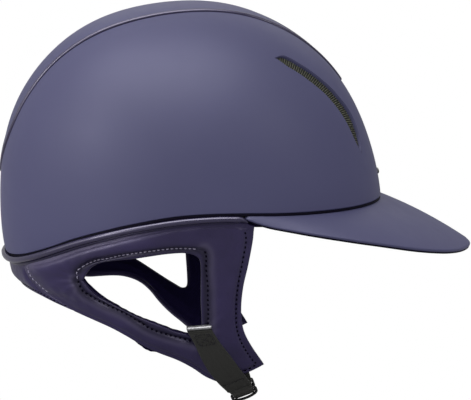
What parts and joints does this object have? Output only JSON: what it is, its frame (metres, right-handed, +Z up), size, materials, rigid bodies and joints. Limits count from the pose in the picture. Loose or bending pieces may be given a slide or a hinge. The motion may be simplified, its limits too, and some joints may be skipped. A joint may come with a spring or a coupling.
{
  "type": "equestrian riding helmet",
  "caption": "Navy equestrian riding helmet with a wide sloping peak, crown inlay, side vents, padded leather harness and webbing chin strap.",
  "frame": {"origin": "centre of the head opening, level with the shell's side rim, where the wearer's head carries the helmet", "axes": "+X to the front (towards the peak), +Y to the wearer's left, +Z up"},
  "size_m": [0.3367, 0.217, 0.2765],
  "materials": {
    "shell_navy": "matt",
    "gloss_navy": "high gloss",
    "leather_navy": "smooth semi-gloss",
    "lining_dark": "brushed textile",
    "pad_fabric": "knitted",
    "webbing_black": "woven",
    "foam_black": "moulded foam beads",
    "plastic_black": "satin",
    "mesh_dark": "fine mesh",
    "steel": "brushed"
  },
  "bodies": {
    "helmet": {"outer_shell": "shell_navy", "crown_panel": "shell_navy", "peak": "shell_navy", "crown_trim": "gloss_navy", "vent_frame_right": "gloss_navy", "vent_frame_left": "gloss_navy", "vent_mesh_right": "mesh_dark", "vent_mesh_left": "mesh_dark", "eps_liner": "foam_black", "rim_carrier": "plastic_black", "front_badge": "plastic_black", "peak_lining": "lining_dark", "side_harness_right": "leather_navy", "side_harness_left": "leather_navy", "nape_panel": "leather_navy", "rim_piping": "gloss_navy", "harness_lining_right": "lining_dark", "harness_lining_left": "lining_dark", "nape_pad": "pad_fabric", "retention_web_front_right": "webbing_black", "retention_web_front_left": "webbing_black", "retention_web_rear_right": "webbing_black", "retention_web_rear_left": "webbing_black", "harness_screw_front_right": "steel", "harness_screw_front_left": "steel", "harness_screw_rear_right": "steel", "harness_screw_rear_left": "steel", "brow_pad": "pad_fabric", "side_pad_right": "pad_fabric", "side_pad_left": "pad_fabric", "rear_pad": "pad_fabric", "crown_pad": "pad_fabric", "side_strap_right": "webbing_black", "side_strap_left": "webbing_black", "strap_clamp_right": "steel", "strap_clamp_left": "steel", "chin_strap": "webbing_black"},
    "strap_adjuster": {"strap_adjuster": "plastic_black"},
    "strap_keeper": {"strap_keeper": "plastic_black"},
    "buckle_receiver": {"buckle_receiver": "plastic_black", "receiver_magnet": "steel"},
    "buckle_plate": {"buckle_plate": "plastic_black", "plate_magnet": "steel"}
  },
  "joints": [
    {"name": "adjuster_swing", "type": "hinge", "parent": "helmet", "child": "strap_adjuster", "pos_m": [0.0329, -0.0662, -0.1224], "axis": [0.9379, 0, 0.347], "range_deg": [-25, 15], "deforming": ["chin_strap"]},
    {"name": "receiver_swing", "type": "hinge", "parent": "helmet", "child": "buckle_receiver", "pos_m": [0.0329, 0.0662, -0.1224], "axis": [0.9379, 0, 0.347], "range_deg": [-8, 12], "deforming": ["chin_strap"]},
    {"name": "buckle_release", "type": "slide", "parent": "buckle_receiver", "child": "buckle_plate", "axis": [0.9379, 0, 0.347], "range_m": [0, 0.018], "deforming": ["chin_strap"]},
    {"name": "keeper_slide", "type": "slide", "parent": "helmet", "child": "strap_keeper", "axis": [0, 1, 0], "range_m": [-0.01, 0.02]}
  ]
}
